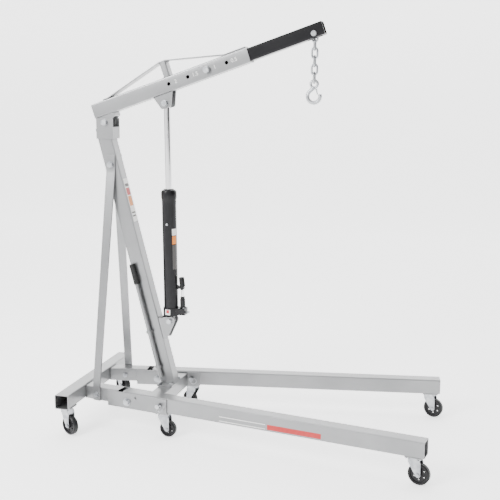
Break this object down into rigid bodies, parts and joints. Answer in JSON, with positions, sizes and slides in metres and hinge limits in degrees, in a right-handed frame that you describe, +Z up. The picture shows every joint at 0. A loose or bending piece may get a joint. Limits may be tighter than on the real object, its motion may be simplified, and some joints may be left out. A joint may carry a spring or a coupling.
{
  "type": "engine hoist crane",
  "caption": "Folding hydraulic engine hoist with a raked mast, trussed telescoping boom, long ram, splayed folding legs, swivel casters, and a chain with a latched hook.",
  "frame": {"origin": "on the floor, under the middle of the crane's overall length, on its centre plane", "axes": "+X from the rear crossbar towards the hook, +Y to the crane's left, +Z up"},
  "size_m": [1.6433, 0.8468, 1.8022],
  "materials": {
    "silver_paint": "glossy silver-grey enamel, lightly worn at edges and holes",
    "black_paint": "glossy black enamel",
    "chrome": "polished hard chrome",
    "zinc": "bright zinc plate",
    "wheel_black": "moulded black wheel, scuffed tread"
  },
  "bodies": {
    "base": {"rear_crossbar": "silver_paint", "base_arm_left": "silver_paint", "base_arm_right": "silver_paint", "leg_channel_left": "silver_paint", "leg_channel_right": "silver_paint", "cross_beam": "silver_paint", "mast_tube": "silver_paint", "mast_head_bracket": "silver_paint", "brace_left": "silver_paint", "brace_right": "silver_paint", "brace_top_bolt": "zinc", "brace_foot_bolt_left": "zinc", "brace_foot_bolt_right": "zinc", "leg_pivot_bolt_left": "zinc", "leg_pivot_bolt_right": "zinc", "ram_foot_bracket": "silver_paint", "ram_foot_bolt": "zinc", "boom_pivot_bolt": "zinc"},
    "leg_left": {"leg_left": "silver_paint"},
    "lock_pin_left": {"lock_pin_left": "zinc"},
    "leg_right": {"leg_right": "silver_paint"},
    "lock_pin_right": {"lock_pin_right": "zinc"},
    "pump_handle": {"pump_handle": "silver_paint"},
    "boom": {"boom_tube": "silver_paint", "boom_heel": "silver_paint", "boom_ram_bracket": "silver_paint", "truss_post": "silver_paint", "truss_strap": "silver_paint", "ram_top_bolt": "zinc", "ram_top_nut": "zinc"},
    "extension_lock_bolt": {"extension_lock_bolt": "zinc"},
    "extension": {"boom_extension": "black_paint", "hook_bolt": "zinc"},
    "link_1": {"chain_link_1": "zinc"},
    "link_2": {"chain_link_2": "zinc"},
    "link_3": {"chain_link_3": "zinc"},
    "link_4": {"chain_link_4": "zinc"},
    "link_5": {"chain_link_5": "zinc"},
    "link_6": {"chain_link_6": "zinc"},
    "hook": {"hook": "zinc"},
    "latch": {"hook_latch": "zinc"},
    "ram": {"ram_cylinder": "black_paint", "ram_base_block": "black_paint", "pump_barrel": "black_paint"},
    "ram_rod": {"ram_rod": "chrome"},
    "handle_socket": {"handle_socket": "black_paint"},
    "pump_plunger": {"pump_plunger": "chrome"},
    "release_valve": {"release_valve": "zinc"},
    "rear_fork_left": {"rear_caster_left_fork": "zinc"},
    "rear_wheel_left": {"rear_caster_left_wheel": "wheel_black"},
    "rear_fork_right": {"rear_caster_right_fork": "zinc"},
    "rear_wheel_right": {"rear_caster_right_wheel": "wheel_black"},
    "mid_fork_left": {"mid_caster_left_fork": "zinc"},
    "mid_wheel_left": {"mid_caster_left_wheel": "wheel_black"},
    "mid_fork_right": {"mid_caster_right_fork": "zinc"},
    "mid_wheel_right": {"mid_caster_right_wheel": "wheel_black"},
    "front_fork_left": {"front_caster_left_fork": "zinc"},
    "front_wheel_left": {"front_caster_left_wheel": "wheel_black"},
    "front_fork_right": {"front_caster_right_fork": "zinc"},
    "front_wheel_right": {"front_caster_right_wheel": "wheel_black"}
  },
  "joints": [
    {"name": "leg_fold_left", "type": "hinge", "parent": "base", "child": "leg_left", "pos_m": [-0.529, 0.17118, 0.142], "axis": [0.1638, -0.9865, 0], "range_deg": [0, 90]},
    {"name": "lock_pin_slide_left", "type": "slide", "parent": "base", "child": "lock_pin_left", "axis": [-0.1638, 0.9865, 0], "range_m": [0, 0.008]},
    {"name": "leg_fold_right", "type": "hinge", "parent": "base", "child": "leg_right", "pos_m": [-0.529, -0.17118, 0.142], "axis": [-0.1638, -0.9865, 0], "range_deg": [0, 90]},
    {"name": "lock_pin_slide_right", "type": "slide", "parent": "base", "child": "lock_pin_right", "axis": [0.1638, 0.9865, 0], "range_m": [0, 0.008]},
    {"name": "handle_slide", "type": "slide", "parent": "base", "child": "pump_handle", "axis": [-0.25, 0, 0.9682], "range_m": [0, 0.27]},
    {"name": "boom_lift", "type": "hinge", "parent": "base", "child": "boom", "pos_m": [-0.69089, 0, 1.375], "axis": [0, -1, 0], "range_deg": [-45, 20]},
    {"name": "extension_lock_slide", "type": "slide", "parent": "boom", "child": "extension_lock_bolt", "axis": [0, 1, 0], "range_m": [0, 0.008]},
    {"name": "extension_slide", "type": "slide", "parent": "boom", "child": "extension", "axis": [0.9463, 0, 0.3233], "range_m": [-0.185, 0.0925]},
    {"name": "link_swing_1", "type": "hinge", "parent": "extension", "child": "link_1", "pos_m": [0.25218, 0, 1.75104], "axis": [0, -1, 0], "range_deg": [-20, 45]},
    {"name": "link_swing_2", "type": "hinge", "parent": "link_1", "child": "link_2", "pos_m": [0.25218, 0, 1.71884], "axis": [1, 0, 0], "range_deg": [-30, 30]},
    {"name": "link_swing_3", "type": "hinge", "parent": "link_2", "child": "link_3", "pos_m": [0.25218, 0, 1.68514], "axis": [0, 1, 0], "range_deg": [-30, 30]},
    {"name": "link_swing_4", "type": "hinge", "parent": "link_3", "child": "link_4", "pos_m": [0.25218, 0, 1.65144], "axis": [1, 0, 0], "range_deg": [-30, 30]},
    {"name": "link_swing_5", "type": "hinge", "parent": "link_4", "child": "link_5", "pos_m": [0.25218, 0, 1.61774], "axis": [0, 1, 0], "range_deg": [-30, 30]},
    {"name": "link_swing_6", "type": "hinge", "parent": "link_5", "child": "link_6", "pos_m": [0.25218, 0, 1.58404], "axis": [1, 0, 0], "range_deg": [-30, 30]},
    {"name": "hook_swing", "type": "hinge", "parent": "link_6", "child": "hook", "pos_m": [0.25218, 0, 1.55034], "axis": [0, 1, 0], "range_deg": [-30, 30]},
    {"name": "latch_turn", "type": "hinge", "parent": "hook", "child": "latch", "pos_m": [0.26168, 0, 1.52284], "axis": [0, 1, 0], "range_deg": [0, 55], "stiffness_Nm_per_rad": 0.02, "springref_deg": -11.46},
    {"name": "ram_tilt", "type": "hinge", "parent": "base", "child": "ram", "pos_m": [-0.39639, 0, 0.4805], "axis": [0, -1, 0], "range_deg": [-1, 0.5]},
    {"name": "rod_slide", "type": "slide", "parent": "ram", "child": "ram_rod", "axis": [-0.0107, 0, 0.9999], "range_m": [-0.223, 0.1]},
    {"name": "socket_tilt", "type": "hinge", "parent": "ram", "child": "handle_socket", "pos_m": [-0.35456, 0, 0.63596], "axis": [0, 1, 0], "range_deg": [0, 50]},
    {"name": "plunger_slide", "type": "slide", "parent": "ram", "child": "pump_plunger", "axis": [-0.0107, 0, 0.9999], "range_m": [-0.0135, 0.001]},
    {"name": "valve_turn", "type": "hinge", "parent": "ram", "child": "release_valve", "pos_m": [-0.32455, -0.008, 0.52377], "axis": [0.9999, 0, 0.0107], "range_deg": [0, 270]},
    {"name": "rear_swivel_left", "type": "hinge", "parent": "base", "child": "rear_fork_left", "pos_m": [-0.78839, 0.292, 0.0445], "axis": [0, 0, 1], "continuous": true},
    {"name": "rear_roll_left", "type": "hinge", "parent": "rear_fork_left", "child": "rear_wheel_left", "pos_m": [-0.77027, 0.28355, 0.0445], "axis": [0.4226, 0.9063, 0], "continuous": true},
    {"name": "rear_swivel_right", "type": "hinge", "parent": "base", "child": "rear_fork_right", "pos_m": [-0.78839, -0.292, 0.0445], "axis": [0, 0, 1], "continuous": true},
    {"name": "rear_roll_right", "type": "hinge", "parent": "rear_fork_right", "child": "rear_wheel_right", "pos_m": [-0.77027, -0.30045, 0.0445], "axis": [0.4226, 0.9063, 0], "continuous": true},
    {"name": "mid_swivel_left", "type": "hinge", "parent": "base", "child": "mid_fork_left", "pos_m": [-0.3613, 0.19904, 0.0375], "axis": [0, 0, 1], "continuous": true},
    {"name": "mid_roll_left", "type": "hinge", "parent": "mid_fork_left", "child": "mid_wheel_left", "pos_m": [-0.38009, 0.20588, 0.0375], "axis": [-0.342, -0.9397, 0], "continuous": true},
    {"name": "mid_swivel_right", "type": "hinge", "parent": "base", "child": "mid_fork_right", "pos_m": [-0.3613, -0.19904, 0.0375], "axis": [0, 0, 1], "continuous": true},
    {"name": "mid_roll_right", "type": "hinge", "parent": "mid_fork_right", "child": "mid_wheel_right", "pos_m": [-0.34137, -0.20078, 0.0375], "axis": [0.0872, 0.9962, 0], "continuous": true},
    {"name": "front_swivel_left", "type": "hinge", "parent": "leg_left", "child": "front_fork_left", "pos_m": [0.75639, 0.38467, 0.0445], "axis": [0, 0, 1], "continuous": true},
    {"name": "front_roll_left", "type": "hinge", "parent": "front_fork_left", "child": "front_wheel_left", "pos_m": [0.77571, 0.37949, 0.0445], "axis": [0.2588, 0.9659, 0], "continuous": true},
    {"name": "front_swivel_right", "type": "hinge", "parent": "leg_right", "child": "front_fork_right", "pos_m": [0.75639, -0.38467, 0.0445], "axis": [0, 0, 1], "continuous": true},
    {"name": "front_roll_right", "type": "hinge", "parent": "front_fork_right", "child": "front_wheel_right", "pos_m": [0.77571, -0.38985, 0.0445], "axis": [0.2588, 0.9659, 0], "continuous": true}
  ],
  "couplings": [
    {"joint": "ram_tilt", "follows": "boom_lift", "ratio": 0.02},
    {"joint": "rod_slide", "follows": "boom_lift", "m_per_rad": 0.282},
    {"joint": "link_swing_1", "follows": "boom_lift", "ratio": -1},
    {"joint": "plunger_slide", "follows": "socket_tilt", "m_per_rad": -0.014}
  ]
}
